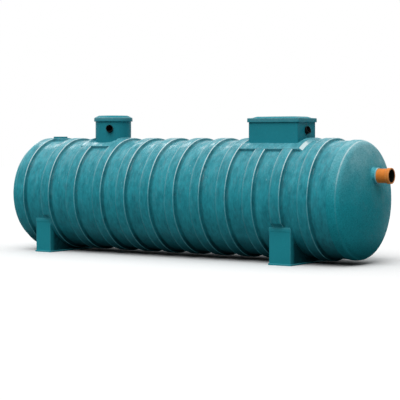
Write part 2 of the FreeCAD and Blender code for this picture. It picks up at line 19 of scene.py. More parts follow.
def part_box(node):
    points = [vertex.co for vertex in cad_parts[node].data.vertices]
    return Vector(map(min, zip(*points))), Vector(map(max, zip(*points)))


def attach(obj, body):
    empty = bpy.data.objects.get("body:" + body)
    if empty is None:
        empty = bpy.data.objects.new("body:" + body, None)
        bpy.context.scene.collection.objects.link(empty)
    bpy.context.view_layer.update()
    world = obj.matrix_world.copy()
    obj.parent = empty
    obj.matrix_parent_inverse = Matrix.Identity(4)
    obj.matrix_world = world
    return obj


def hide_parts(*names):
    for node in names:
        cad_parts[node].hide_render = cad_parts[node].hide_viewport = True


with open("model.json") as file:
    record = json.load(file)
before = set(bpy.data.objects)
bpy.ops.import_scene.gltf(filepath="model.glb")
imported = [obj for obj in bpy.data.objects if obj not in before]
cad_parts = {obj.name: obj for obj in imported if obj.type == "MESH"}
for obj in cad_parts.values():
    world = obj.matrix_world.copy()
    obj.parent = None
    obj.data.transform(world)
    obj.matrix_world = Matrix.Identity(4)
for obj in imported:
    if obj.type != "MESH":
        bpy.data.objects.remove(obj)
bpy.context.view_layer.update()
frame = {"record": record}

# %% [markdown]
# The camera comes first, because everything else is judged through it. It stands at eye height some
# twenty metres off and looks level, so the legs stay upright in the picture. A view camera would slide
# its lens down to bring the tank into the middle; Blender's camera has shift_y for that, and no tilt is
# needed.

# %% Camera
camera = bpy.data.objects.new("camera", bpy.data.cameras.new("camera"))
camera.data.sensor_width = 36
camera.data.lens = 126
camera.data.shift_y = -0.15
camera.data.clip_end = 300
camera.location = (11.844, -17.546, 1.751)
camera.rotation_euler = (math.radians(90), 0, math.radians(34))
bpy.context.collection.objects.link(camera)
bpy.context.scene.camera = camera
print("camera stands", round(camera.location.length, 1), "m from the middle of the tank")

# %% [markdown]
# The main sizes are read from the solids instead of being typed again. The barrel is a round wall with
# twelve hoops, so its axis and its two radii come from one hoop and one wall segment, and every hoop
# says where it stands. Only what a box can't tell is typed: how far a hoop's flank slopes, the wall,
# and how deep the ends are.

# %% Measure the barrel
hoop_flank = 0.015
shell_wall = 0.012
dish_depth = 0.283
hoop_low, hoop_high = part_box("hoop_05")
hoop_radius = (hoop_high.z - hoop_low.z) / 2
axis_height = (hoop_high.z + hoop_low.z) / 2
hoop_half_base = (hoop_high.x - hoop_low.x) / 2
hoop_half_crest = hoop_half_base - hoop_flank
shell_radius = -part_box("barrel_front")[0].y
hoop_height = hoop_radius - shell_radius
hoop_names = ["hoop_%02d" % number for number in range(1, 13)]
stave_names = ["barrel_" + word for word in (
    "crown", "upper_back", "back", "lower_back", "belly", "lower_front", "front", "upper_front")]
hoop_places = [(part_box(name)[0].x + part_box(name)[1].x) / 2 for name in hoop_names]
left_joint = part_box("left_end_cap")[0].x + dish_depth
right_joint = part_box("right_end_cap")[1].x - dish_depth
print("axis", round(axis_height, 3), "shell", round(shell_radius, 3), "hoops", round(hoop_radius, 3))

# %% [markdown]
# Nearly every piece of the tank is a section carried round: round the barrel's axis, round a neck's
# axis, or round a rectangle. So the script needs two tools. One turns the sharp corners of a section
# into arcs, because laminate never makes a sharp corner, and marks the arcs so that the gelcoat can be
# paler there, partly as wear and partly as painted highlight; a mark below zero paints shade instead.
# The other joins rings of points with faces. Curves with a bevel, or Blender's Screw modifier, would do
# part of this, but rings of points can also be bent afterwards to follow a dome or to wander a little.

# %% Sections and rings
arc_step = 13
on_axis = 1e-6


def rounded(corners, closed=True):
    """Section through corners given as (along, across, radius, mark), with an arc of that radius at each.

    Gives rows of along, across and mark. The mark goes onto the arc's points.
    """
    rows = []
    count = len(corners)
    for index, (along, across, radius, mark) in enumerate(corners):
        here = np.array((along, across))
        if radius == 0 or (not closed and index in (0, count - 1)):
            rows.append((along, across, mark))
            continue
        before = np.array(corners[index - 1][:2]) - here
        after = np.array(corners[(index + 1) % count][:2]) - here
        before /= np.linalg.norm(before)
        after /= np.linalg.norm(after)
        opening = math.acos(np.clip(before @ after, -1, 1))
        run = radius / math.tan(opening / 2)
        inward = (before + after) / np.linalg.norm(before + after)
        centre = here + inward * radius / math.sin(opening / 2)
        start = here + before * run - centre
        finish = here + after * run - centre
        turn = math.pi - opening
        steps = max(3, round(math.degrees(turn) / arc_step))
        for step in range(steps + 1):
            share = step / steps
            arm = math.sin((1 - share) * turn) * start + math.sin(share * turn) * finish
            rows.append((*(centre + arm / math.sin(turn)), mark))
    return rows


def refined(rows, longest, closed=False):
    """The same section with no straight run longer than this. A closed one also runs back to its start."""
    finer = []
    for here, there in zip(rows, rows[1:] + rows[:1] if closed else rows[1:]):
        finer.append(here)
        parts = math.ceil(math.hypot(there[0] - here[0], there[1] - here[1]) / longest)
        mark = here[2] if here[2] == there[2] else 0
        for part in range(1, parts):
            share = part / parts
            along = here[0] + (there[0] - here[0]) * share
            across = here[1] + (there[1] - here[1]) * share
            finer.append((along, across, mark))
    return finer if closed else finer + [rows[-1]]


def joined(rings, closed=True):
    """Faces between each ring of point numbers and the next; a ring of one number is a pole."""
    faces = []
    for here, there in zip(rings, rings[1:] + rings[:1] if closed else rings[1:]):
        count = max(len(here), len(there))
        for step in range(count):
            ahead = (step + 1) % count
            corners = [here[step % len(here)], here[ahead % len(here)],
                       there[ahead % len(there)], there[step % len(there)]]
            corners = list(dict.fromkeys(corners))
            if len(corners) > 2:
                faces.append(corners)
    return faces


def turned(rows, segments):
    """Carry a section round its first axis. Gives points (along, across, up), ring numbers and marks."""
    points = []
    rings = []
    marks = []
    for along, radius, mark in rows:
        start = len(points)
        count = 1 if radius < on_axis else segments
        for step in range(count):
            angle = 2 * math.pi * step / segments
            points.append((along, -radius * math.sin(angle), radius * math.cos(angle)))
        rings.append(list(range(start, start + count)))
        marks += [mark] * count
    return np.array(points), rings, marks


print("an arc has a point about every", arc_step, "degrees")

# %% [markdown]
# Points and faces become a piece in one place, so that all pieces are treated alike. Its faces are made
# to look outward, its edges are smooth unless they bend sharply, and the marks are kept as an
# attribute, which the materials can read. Weighted normals keep broad flat faces flat beside small
# arcs. The piece then rides with the tank's one body and stands for its CAD solids.

# %% Pieces
crease = 38


def outward_mesh(name, points, faces):
    """A mesh whose faces look outward, and the number of its edges that don't join two faces."""
    mesh = bpy.data.meshes.new(name)
    mesh.from_pydata([tuple(point) for point in points], [], faces)
    shape = bmesh.new()
    shape.from_mesh(mesh)
    bmesh.ops.recalc_face_normals(shape, faces=shape.faces)
    open_edges = sum(not edge.is_manifold for edge in shape.edges)
    shape.to_mesh(mesh)
    shape.free()
    return mesh, open_edges


def piece(name, points, faces, stands_for, marks):
    """A closed mesh with outward faces, smooth but for its creases, that rides with the tank."""
    mesh, open_edges = outward_mesh(name, points, faces)
    pale = mesh.attributes.new("pale_edge", "FLOAT", "POINT")
    pale.data.foreach_set("value", np.array(marks, dtype=np.float32))
    mesh.shade_smooth()
    mesh.set_sharp_from_angle(angle=math.radians(crease))
    made = bpy.data.objects.new(name, mesh)
    bpy.context.collection.objects.link(made)
    weights = made.modifiers.new("flat faces stay flat", "WEIGHTED_NORMAL")
    weights.keep_sharp = True
    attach(made, "root")
    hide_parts(*stands_for)
    print(name, len(mesh.vertices), "points,", open_edges, "open edges")
    return made


print("edges are sharp where they bend more than", crease, "degrees")

# %% [markdown]
# The barrel is one laid-up shell, so its wall and hoops are one piece here although the CAD model
# splits them for packing. The section runs along the top of the wall, up and over every hoop, and back
# along the inside. A hoop's foot meets the wall in a wide soft corner, where the laminate sags into the
# angle. Its crest has a soft corner at the left, but for the hoop at the left end and the one that the
# manhole's collar laps over, and a tight corner at the right. Both crest corners are marked pale, the
# right one most: partly worn gelcoat, partly a painted highlight. Points without a mark stand close on
# either side of the right corner and keep that pale line thin. The right foot is marked with a number
# below zero, which paints shade into the angle there.

# %% Barrel skin
hoop_foot_round = 0.020
hoop_crest_round = 0.008
soft_crest_round = 0.024
tight_places = (hoop_places[0], hoop_places[2])
line_lead = 0.012
line_drop = 0.2
skin_run = 0.03
barrel_steps = 168
skin_end = right_joint - 0.004
corners = [(left_joint, shell_radius, 0, 0)]
for place in hoop_places:
    foot_start = max(place - hoop_half_base, left_joint + 0.002)
    foot_round = hoop_foot_round if place > hoop_places[0] else 0
    left_round = hoop_crest_round if place in tight_places else soft_crest_round
    right_crest = place + hoop_half_crest
    # Crest marks paint pale lines, partly wear and partly a painted highlight; the right foot's mark paints
    # shade.
    corners += [
        (foot_start, shell_radius, foot_round, 0),
        (place - hoop_half_crest, hoop_radius, left_round, 0.6),
        (right_crest - line_lead, hoop_radius, 0, 0),
        (right_crest, hoop_radius, hoop_crest_round, 1),
        (right_crest + line_drop * hoop_flank, hoop_radius - line_drop * hoop_height, 0, 0),
        (place + hoop_half_base, shell_radius, hoop_foot_round, -0.5),
    ]
corners.append((skin_end, shell_radius, 0, 0))
outside = refined(rounded(corners, closed=False), skin_run)
inside = [(skin_end, shell_radius - shell_wall, 0), (left_joint, shell_radius - shell_wall, 0)]
points, rings, marks = turned(outside + inside, barrel_steps)
print("barrel's section has", len(outside), "rows outside")

# %% [markdown]
# Where the turrets stand, the hoops are ground away to the shell to seat them. A seat reaches a little
# past its turret, and the manhole's also past the hoop that its collar laps over. Where a hoop crosses
# a saddle, it is trimmed behind the saddle's face, so that the saddle shows as one clean block.

# %% Grind the hoops for turrets and saddles
seats = [
    (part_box("hatch_wall_left")[0].x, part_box("hatch_wall_right")[1].x + 0.07, 0.40),
    (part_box("manhole_neck_left")[0].x - 0.012, hoop_places[2] + hoop_half_base + 0.05, 0.34),
]
trim_behind = 0.012
trim_above = 0.03


def between(values, low, high):
    return (values > low) & (values < high)


for start, end, half_width in seats:
    radius = np.hypot(points[:, 1], points[:, 2])
    seated = between(points[:, 0], start, end) & between(points[:, 1], -half_width, half_width)
    seated &= points[:, 2] > 0
    points[:, 1:] *= np.where(seated, np.minimum(1, shell_radius / radius), 1)[:, None]
for word in ("left", "right"):
    low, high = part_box(word + "_saddle")
    crossing = between(points[:, 0], low.x, high.x) & (points[:, 2] < high.z + trim_above - axis_height)
    shell_there = np.sqrt(np.maximum(shell_radius ** 2 - points[:, 2] ** 2, 0))
    furthest = np.maximum(high.y - trim_behind, shell_there)
    points[:, 1] = np.where(crossing, np.clip(points[:, 1], -furthest, furthest), points[:, 1])
    print(word, "saddle has", int(crossing.sum()), "points of the barrel over it")

# %% [markdown]
# Laminate over a hand-built mould wanders. A few long waves round and along the barrel, always the same
# because their phases are seeded, bend the hoops by two or three millimetres and dent the wall by one.
# The waves only ever sink the surface, so the tank stays inside its CAD size, and they leave the two
# ends of the barrel alone, where the heads join it.

# %% Let the barrel wander
draw = np.random.default_rng(7)
wave_count = 9
wave_peak = 1.6
slide_by = 0.0022
sink_by = 0.0007


def waves(along, angle):
    """Sum of seeded waves over the barrel, about -1 to 1."""
    total = np.zeros(len(along))
    for _ in range(wave_count):
        round_it = draw.integers(2, 12)
        pitch = draw.uniform(2, 14)
        phase = draw.uniform(0, 2 * math.pi)
        total += np.sin(round_it * angle + pitch * along + phase)
    return total / math.sqrt(wave_count) / wave_peak


radius = np.hypot(points[:, 1], points[:, 2])
angle = np.arctan2(points[:, 1], points[:, 2])
free = (radius > shell_radius - shell_wall / 2) & between(points[:, 0], left_joint + 0.01, skin_end - 0.06)
slide = np.where(free, slide_by * waves(points[:, 0], angle), 0)
sink = np.where(free, sink_by * (1 + np.clip(waves(points[:, 0], angle), -1, 1)), 0)
points[:, 0] += slide
points[:, 1:] *= ((radius - sink) / radius)[:, None]
points[:, 2] += axis_height
piece("barrel_skin", points, joined(rings), stave_names + hoop_names, marks)

# %% [markdown]
# Each end of the tank is a dished head: a shallow crown, a tight knuckle and a straight rim. The
# crown's arc and the knuckle's arc share a tangent, and the point where they meet lies on the line
# through their centres. A pale line along the knuckle's middle is a painted highlight, and on the right
# head it grows stronger toward the top. The right head has a rim that laps over the barrel, with its edge
# feathered down by hand, which shows as a faint step.

# %% Dished ends
knuckle = 0.135
knuckle_highlight_line = 0.066
knuckle_highlight_width = 0.014
knuckle_highlight_base = 0.8
knuckle_highlight_rise = 0.5
arc_points = 22


def crown_of(radius):
    """Radius of the crown's arc in a head of this radius."""
    reach = radius - knuckle
    return (dish_depth ** 2 + reach ** 2 - knuckle ** 2) / (2 * (dish_depth - knuckle))


def dish(radius, wall):
    """Arc points of a head, as (along, across), from its rim plane to its middle, this deep in its wall."""
    reach = radius - knuckle
    crown = crown_of(radius)
    crown_centre = dish_depth - crown
    slant = math.atan2(reach, -crown_centre)
    arc = [(math.cos(a) * (knuckle - wall), reach + math.sin(a) * (knuckle - wall))
           for a in np.linspace(math.pi / 2, slant, arc_points)]
    arc += [(crown_centre + math.cos(a) * (crown - wall), math.sin(a) * (crown - wall))
            for a in np.linspace(slant, 0, arc_points)[1:]]
    arc[-1] = (arc[-1][0], 0)
    return arc


def head_rows(rim, radius):
    """Closed section of a head: rim, dish outside, dish inside; the knuckle gets a painted highlight."""
    outside = [(along, across, math.exp(-((along - knuckle_highlight_line) / knuckle_highlight_width) ** 2))
               for along, across in dish(radius, 0)]
    inside = [(along, across, 0) for along, across in reversed(dish(radius, shell_wall))]
    return rim + outside + inside


points, rings, marks = turned(head_rows([], shell_radius), barrel_steps)
points[:, 0] = left_joint - points[:, 0]
points[:, 2] += axis_height
piece("left_head", points, joined(rings), ["left_end_cap"], marks)

cap_low, cap_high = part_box("right_end_cap")
skirt_radius = (cap_high.z - cap_low.z) / 2
skirt_start = cap_low.x - right_joint
feather = rounded([
    (skirt_start, skirt_radius - shell_wall - 0.001, 0, 0),
    (skirt_start + 0.004, skirt_radius - 0.004, 0.004, 0.3),
    (skirt_start + 0.016, skirt_radius, 0.02, 0.3),
    (skirt_start + 0.05, skirt_radius, 0, 0),
], closed=False)
points, rings, marks = turned(head_rows(feather, skirt_radius), barrel_steps)
# On the right head the knuckle's painted highlight grows stronger toward the top.
knuckle_highlight_marks = marks * np.clip(knuckle_highlight_base + knuckle_highlight_rise * points[:, 2] / skirt_radius, 0, 1)
points[:, 0] += right_joint
points[:, 2] += axis_height
right_head = piece("right_head", points, joined(rings), ["right_end_cap"], knuckle_highlight_marks)

# %% [markdown]
# The inlet goes through the right head above its middle, so that head needs a hole. A Boolean with a
# plain rod cuts it, and the result replaces the mesh at once, so no modifier is left that would slow
# down later steps. The hole comes off under the boss, where no one sees the odd faces that a Boolean
# leaves round it. The ducts need the same.

# %% Round holes
bore_steps = 64


def rod(start, end, radius):
    """Points and rings of a plain rod along X."""
    points, rings, _ = turned([(start, 0, 0), (start, radius, 0), (end, radius, 0), (end, 0, 0)], bore_steps)
    return points, rings


def bored(made, points, rings):
    """Cut a closed mesh out of a piece."""
    core_mesh, _ = outward_mesh("core", points, joined(rings, closed=False))
    core = bpy.data.objects.new("core", core_mesh)
    bpy.context.collection.objects.link(core)
    weights = made.modifiers["flat faces stay flat"]
    weights.show_viewport = False
    hole = made.modifiers.new("hole", "BOOLEAN")
    hole.object = core
    hole.operation = "DIFFERENCE"
    hole.solver = "EXACT"
    bpy.context.view_layer.update()
    mesh = bpy.data.meshes.new_from_object(made.evaluated_get(bpy.context.evaluated_depsgraph_get()))
    made.modifiers.remove(hole)
    made.data = mesh
    mesh.name = made.name
    weights.show_viewport = True
    bpy.data.objects.remove(core)
    print(made.name, "after the cut:", len(mesh.vertices), "points")


pipe_low, pipe_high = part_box("inlet_pipe")
pipe_height = (pipe_low.z + pipe_high.z) / 2
pipe_radius = 0.100
behind_wall = 0.1
points, rings = rod(pipe_low.x - behind_wall, pipe_high.x, pipe_radius)
points[:, 2] += pipe_height
bored(right_head, points, rings)

# %% [markdown]
# The inlet itself is a length of orange drain pipe with a thicker socket rim, set in a moulded boss.
# The pipe is a turned section with a real wall, and its bore is painted near black as shade down the
# tube, so the mouth is dark. The boss has to end on a dome that slopes under it, so each of its rings
# either follows the dome, lifted by a little, or lies level with the boss's top.

# %% Inlet pipe
rim_radius = (pipe_high.z - pipe_low.z) / 2
pipe_bore = 0.093
# Bore rows are marked below zero: painted shade, near black.
rows = rounded([
    (pipe_low.x, pipe_bore, 0.001, -1),
    (pipe_high.x - 0.02, pipe_bore, 0, -1),
    (pipe_high.x - 0.006, pipe_bore, 0.003, -1),
    (pipe_high.x, pipe_bore + 0.004, 0.002, 0.6),
    (pipe_high.x, rim_radius, 0.004, 1),
    (pipe_high.x - 0.056, rim_radius, 0.005, 0.7),
    (pipe_high.x - 0.064, pipe_radius, 0.004, 0),
    (pipe_low.x, pipe_radius, 0.001, 0),
])
points, rings, marks = turned(refined(rows, 0.03, closed=True), 96)
points[:, 2] += pipe_height
piece("inlet_drain_pipe", points, joined(rings), ["inlet_pipe"], marks)

# %% Inlet boss
crown_radius = crown_of(skirt_radius)
crown_middle = right_joint + dish_depth - crown_radius


def dome_at(across, up):
    """Where along X the right head's crown lies, at a place across and up from the barrel's axis."""
    return crown_middle + np.sqrt(crown_radius ** 2 - across ** 2 - up ** 2)


boss_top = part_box("inlet_boss")[1].x - 0.012
boss_radius = 0.114
boss_flare = 0.008
boss_round = 0.009
boss_bore = pipe_radius + 0.0005
boss_steps = 72
on_dome = [(boss_radius + boss_flare + 0.004, -0.004, 0)]
on_dome += [(boss_radius + boss_flare * (1 - math.sin(a)), boss_flare * (1 - math.cos(a)), 0)
            for a in np.linspace(0, math.pi / 2, 7)]
on_top = [(boss_radius, -0.010, 0)]
on_top += [(boss_radius - boss_round * (1 - math.cos(a)), -boss_round * (1 - math.sin(a)), 1)
           for a in np.linspace(0, math.pi / 2, 6)]
on_top += [(boss_bore, 0, 0.5)]
under = [(boss_bore, -0.006, 0)]
points = []
marks = []
for follows_dome, group in ((True, on_dome), (False, on_top), (True, under)):
    for ring_radius, lift, mark in group:
        for step in range(boss_steps):
            turn = 2 * math.pi * step / boss_steps
            across = ring_radius * math.sin(turn)
            up = ring_radius * math.cos(turn)
            foot = dome_at(across, up + pipe_height - axis_height) if follows_dome else boss_top
            points.append((foot + lift, across, up + pipe_height))
            marks.append(mark)
rings = [list(range(start, start + boss_steps)) for start in range(0, len(points), boss_steps)]
piece("inlet_moulded_boss", points, joined(rings), ["inlet_boss"], marks)

# %% [markdown]
# Collars are patches of extra laminate that carry the turrets. They bridge the bays between hoops,
# flush with the crests, so the shell seems to swell up around each turret, but right beside the turret
# they dip to the shell, which makes a seat for it. Each one is a stack of rings that starts against the
# turret's wall, flows out of it in a small flare, climbs out of the seat, spreads over the barrel's
# round and drops at the rim. Where the rim passes over a bay it shows as a step, and where it passes
# over a hoop it almost disappears.

# %% Collar outlines
collar_radius = hoop_radius + 0.003
collar_corner = 0.026


def oblong(middle, half_x, half_y, corner, along_side=26, along_corner=6):
    """Points round a rectangle with rounded corners, as rows of x and y."""
    rows = []
    for turn, (side_x, side_y) in enumerate(((1, -1), (1, 1), (-1, 1), (-1, -1))):
        centre = np.array(middle) + (side_x * (half_x - corner), side_y * (half_y - corner))
        for step in range(along_corner + 1):
            bend = math.radians(90 * (turn - 1 + step / along_corner))
            rows.append(centre + corner * np.array((math.cos(bend), math.sin(bend))))
    rows = np.array(rows)
    count = along_corner + 1
    full = []
    for turn in range(4):
        full += list(rows[turn * count:(turn + 1) * count])
        last = rows[(turn + 1) * count - 1]
        first = rows[((turn + 1) * count) % len(rows)]
        full += [last + (first - last) * step / along_side for step in range(1, along_side)]
    return np.array(full)


def collar_outline(node):
    """The rounded rectangle that a collar's box fills in plan."""
    low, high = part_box(node)
    return oblong(((low.x + high.x) / 2, 0), (high.x - low.x) / 2, high.y, collar_corner)


def round_hole(middle_x, radius, node):
    """Outline of a round hole in a collar, with one point for every point of the collar's own outline."""
    outline = collar_outline(node)
    bearing = np.arctan2(outline[:, 1], outline[:, 0] - middle_x)
    facing = np.column_stack((np.cos(bearing), np.sin(bearing)))
    return lambda out: np.array((middle_x, 0)) + facing * (radius + out)


def on_barrel(flat, height_radius):
    """Lift plan points straight up onto the barrel's round of this radius."""
    return np.column_stack((flat, axis_height + np.sqrt(np.square(height_radius) - flat[:, 1] ** 2)))


def toward_axis(flat, height_radius):
    """Set plan points of the collar's outside at another radius, along the lines that run to the axis."""
    spread = flat[:, 1] * height_radius / collar_radius
    up = axis_height + np.sqrt(height_radius ** 2 - spread ** 2)
    return np.column_stack((flat[:, 0], spread, up))


print("collars stand", round(1000 * (collar_radius - hoop_radius)), "mm above the hoops")

# %% [markdown]
# The stack itself is one function for all three collars. What differs is the hole, the flare, how far
# the two ends slope, and the seat.

# %% Collar
climb_start = 0.15
climb_length = 0.3


def collar(name, node, hole, flare, slopes, seat=None, slope_highlight=0):
    """Patch from a node's box, round a hole given as a function of how far out its outline is.

    The slopes are the runs of the left and right ends, and the mark, a painted highlight, goes onto the right
    one. The seat is a function of plan points that says where the patch dips to the shell beside the hole,
    from 0 to 1.
    """
    low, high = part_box(node)
    middle = (low.x + high.x) / 2
    half_x = (high.x - low.x) / 2
    half_y = high.y
    foot = collar_outline(node)
    from_middle = foot[:, 0] - middle
    slope = np.where(from_middle > 0, -slopes[1], slopes[0])
    top = foot.copy()
    top[:, 0] += slope * np.clip(np.abs(from_middle) / half_x, 0, 1)
    top[:, 1] *= 1 - 0.004 / half_y
    shelf = foot.copy()
    shelf[:, 0] = middle + (top[:, 0] - middle) * (1 - 0.002 / half_x)
    shelf[:, 1] = top[:, 1] * (1 - 0.003 / half_y)
    buried = shell_radius - shell_wall / 2
    stack = [on_barrel(hole(-0.004), buried)]
    edge = hole(flare)
    dip = hoop_height * (seat(edge) if seat else np.zeros(len(edge)))
    for bend in np.linspace(0, math.pi / 2, 6):
        ring = on_barrel(hole(flare * (1 - math.cos(bend))), collar_radius - dip)
        ring[:, 2] += flare * (1 - math.sin(bend))
        stack.append(ring)
    for share in (0.08, 0.15, 0.25, 0.35, 0.43, 0.45, 0.50, 0.65, 0.8, 0.92, 1):
        left_to_climb = 1 - np.clip((share - climb_start) / climb_length, 0, 1)
        stack.append(on_barrel(edge + (shelf - edge) * share, collar_radius - dip * left_to_climb))
    count = len(foot)
    plain_marks = np.zeros(count * len(stack))
    stack.append(toward_axis(top, collar_radius - 0.0015))
    stack.append(toward_axis(top + (foot - top) * 0.12, collar_radius - 0.0060))
    stack.append(toward_axis(foot, shell_radius + 0.004))
    stack.append(toward_axis(foot, buried))
    # Painted shade at the rim's foot, a mark just below zero; a painted highlight on the right slope.
    sloping = foot[:, 0] > high.x - 0.001
    faded_highlight = slope_highlight * np.clip((np.abs(foot[:, 1]) - 0.10) / 0.25, 0.3, 1)
    rim_marks = [np.where(sloping, faded_highlight, mark) for mark in (0.5, 0, -0.1, 0)]
    rings = [list(range(row * count, row * count + count)) for row in range(len(stack))]
    marks = np.concatenate([plain_marks] + rim_marks)
    piece(name, np.vstack(stack), joined(rings), [node], marks)


# %% [markdown]
# Now the three collars. The manhole's seat stops short of the hoop at its right, the hatch's keeps clear
# of the collar's left end, and the low vent needs none. The hatch's right end is a long slope, painted
# pale as a highlight.

# %% Manhole, hatch and vent collars
neck_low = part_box("manhole_neck_left")[0]
neck_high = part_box("manhole_neck_right")[1]
neck_middle = (neck_low.x + neck_high.x) / 2
neck_radius = (neck_high.x - neck_low.x) / 2
neck_top = neck_high.z
next_hoop = hoop_places[3] - hoop_half_base


def short_of_hoop(flat):
    """1 round the neck and 0 on the hoop at its right, which stays whole."""
    return np.clip((next_hoop - flat[:, 0]) / 0.04, 0, 1)


neck_hole = round_hole(neck_middle, neck_radius, "manhole_collar")
collar("manhole_patch", "manhole_collar", neck_hole, 0.012, (0.006, 0.026), short_of_hoop)

box_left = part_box("hatch_wall_left")[0].x
box_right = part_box("hatch_wall_right")[1].x
box_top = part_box("hatch_wall_back")[1].z
box_middle = ((box_left + box_right) / 2, 0)
box_half_x = (box_right - box_left) / 2
box_half_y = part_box("hatch_wall_back")[1].y
hatch_collar_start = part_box("hatch_collar")[0].x


def clear_of_end(flat):
    """1 round the hatch and 0 at the collar's left end, where there is no room for a seat."""
    return np.clip((flat[:, 0] - hatch_collar_start) / 0.03, 0, 1)


def box_hole(out):
    return oblong(box_middle, box_half_x + out, box_half_y + out, 0.010 + max(out, 0))


collar("hatch_patch", "hatch_collar", box_hole, 0.003, (0.001, 0.045), clear_of_end, 1)

vent_low, vent_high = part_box("vent_cap")
vent_middle = (vent_low.x + vent_high.x) / 2
vent_radius = (vent_high.x - vent_low.x) / 2
vent_hole = round_hole(vent_middle, 0.06, "vent_collar")
collar("vent_patch", "vent_collar", vent_hole, 0.001, (0.020, 0.020))

# %% [markdown]
# The round turret is a plain moulded neck under a lid whose skirt hangs outside it. The lid has a flat
# middle and a sloping shoulder, and the vent's cap is a low disc. All are turned sections; a lathe in
# Blender would be the Screw modifier, but turning the points here keeps the pale marks on the corners.

# %% Manhole neck, manhole lid and vent cap
four_sides = ("front", "right", "back", "left")
turret_wall = 0.010
turret_sink = 0.004
turret_run = 0.05
turret_steps = 128


def stood_up(rows, segments, middle_x):
    """Turn a section of (height, radius, mark) about an upright axis. Gives points, faces and marks."""
    points, rings, marks = turned(rows, segments)
    return np.column_stack((points[:, 1] + middle_x, points[:, 2], points[:, 0])), joined(rings), marks


def wall_foot(half_width):
    """Height at which a turret's wall, this far from the middle, goes into the shell."""
    return on_barrel(np.array([[0, half_width]]), shell_radius)[0, 2] - turret_sink


neck_foot = wall_foot(neck_radius)
rows = rounded([
    (neck_foot, neck_radius, 0, 0),
    (neck_top, neck_radius, 0.003, 0),
    (neck_top, neck_radius - turret_wall, 0.003, 0),
    (neck_foot, neck_radius - turret_wall, 0, 0),
])
points, faces, marks = stood_up(refined(rows, turret_run, closed=True), turret_steps, neck_middle)
manhole_neck = piece("manhole_neck", points, faces,
                     ["manhole_neck_" + word for word in four_sides], marks)

lid_low, lid_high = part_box("manhole_lid")
lid_radius = (lid_high.x - lid_low.x) / 2
lid_thick = 0.010
skirt_thick = 0.019
rows = rounded([
    (lid_high.z, 0, 0, 0),
    (lid_high.z, 0.228, 0.030, 0.3),
    (neck_top + lid_thick, lid_radius - 0.002, 0.009, 1),
    (lid_low.z, lid_radius, 0.006, 0.5),
    (lid_low.z, lid_radius - skirt_thick, 0.004, 0),
    (neck_top, lid_radius - skirt_thick, 0.004, 0),
    (neck_top, neck_radius - turret_wall, 0.004, 0),
    (lid_high.z - lid_thick, 0.218, 0.010, 0),
    (lid_high.z - lid_thick, 0, 0, 0),
])
points, faces, marks = stood_up(refined(rows, turret_run), turret_steps, neck_middle)
piece("manhole_cover", points, faces, ["manhole_lid"], marks)

vent_foot = vent_low.z - 0.002
rows = rounded([
    (vent_high.z, 0, 0, 0),
    (vent_high.z, vent_radius, 0.006, 0.8),
    (vent_foot, vent_radius, 0, 0),
    (vent_foot, 0, 0, 0),
])
points, faces, marks = stood_up(refined(rows, 0.03), 72, vent_middle)
piece("vent_cover", points, faces, ["vent_cap"], marks)

# %% [markdown]
# The rectangular turret is the same idea carried round a rectangle: each point of its section becomes a
# ring of rounded-rectangle points. The lid has a skirt, a ledge and a low raised panel with sloping
# sides. Both halves of the lid's section end near the middle, where a single point closes the last
# ring.


# %% Hatch box and lid
def carried_round(name, section, stands_for, poles=False):
    """Piece whose section, rows of (how far out, height, corner, mark), runs round the hatch's rectangle."""
    stack = []
    marks = []
    rings = []
    for out, height, corner, mark in section:
        ring = oblong(box_middle, box_half_x + out, box_half_y + out, corner)
        rings.append(list(range(len(marks), len(marks) + len(ring))))
        stack.append(np.column_stack((ring, np.full(len(ring), height))))
        marks += [mark] * len(ring)
    if poles:
        for row in (0, -1):
            stack.append(np.array([[*box_middle, section[row][1]]]))
            marks.append(0)
        total = len(marks)
        rings = [[total - 2]] + rings + [[total - 1]]
    return piece(name, np.vstack(stack), joined(rings, not poles), stands_for, marks)


box_corner = 0.014
box_foot = wall_foot(box_half_y)
rows = rounded([
    (0, box_foot, 0, 0),
    (0, box_top, 0.003, 0),
    (-turret_wall, box_top, 0.003, 0),
    (-turret_wall, box_foot, 0, 0),
])
box_section = [(out, height, max(box_corner + out, 0.004), mark) for out, height, mark in rows]
hatch_box = carried_round("hatch_box", box_section, ["hatch_wall_" + word for word in four_sides])

cover_low, cover_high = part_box("hatch_lid")
cover_out = (cover_high.x - cover_low.x) / 2 - box_half_x
cover_corner = 0.029
ledge = box_top + 0.025
panel_inside = box_top + 0.042
near_middle = -0.24
rows = rounded([
    (near_middle, cover_high.z, 0, 0),
    (cover_out - 0.105, cover_high.z - 0.004, 0.030, 0.4),
    (cover_out - 0.058, ledge + 0.004, 0.010, 0),
    (cover_out, ledge, 0.008, 0.9),
    (cover_out, cover_low.z, 0.004, 0.6),
    (0.004, cover_low.z, 0.003, 0),
    (0.004, box_top, 0.003, 0),
    (-turret_wall, box_top, 0.003, 0),
    (-0.070, panel_inside, 0.006, 0),
    (near_middle, panel_inside, 0, 0),
], closed=False)
cover_section = [(out, height, max(cover_corner + min(out - cover_out, 0), 0.012), mark)
                 for out, height, mark in rows]
carried_round("hatch_cover", cover_section, ["hatch_lid"], poles=True)

# %% [markdown]
# A short black duct leaves each turret, tipped upward so that rain would run off it. Each is a turned
# tube, laid along X at the origin, then turned to its direction and moved to the wall. The record's
# mounts give the mouth and the direction, so the tubes follow the CAD model wherever it puts them, and
# a hole is cut through the wall for each.

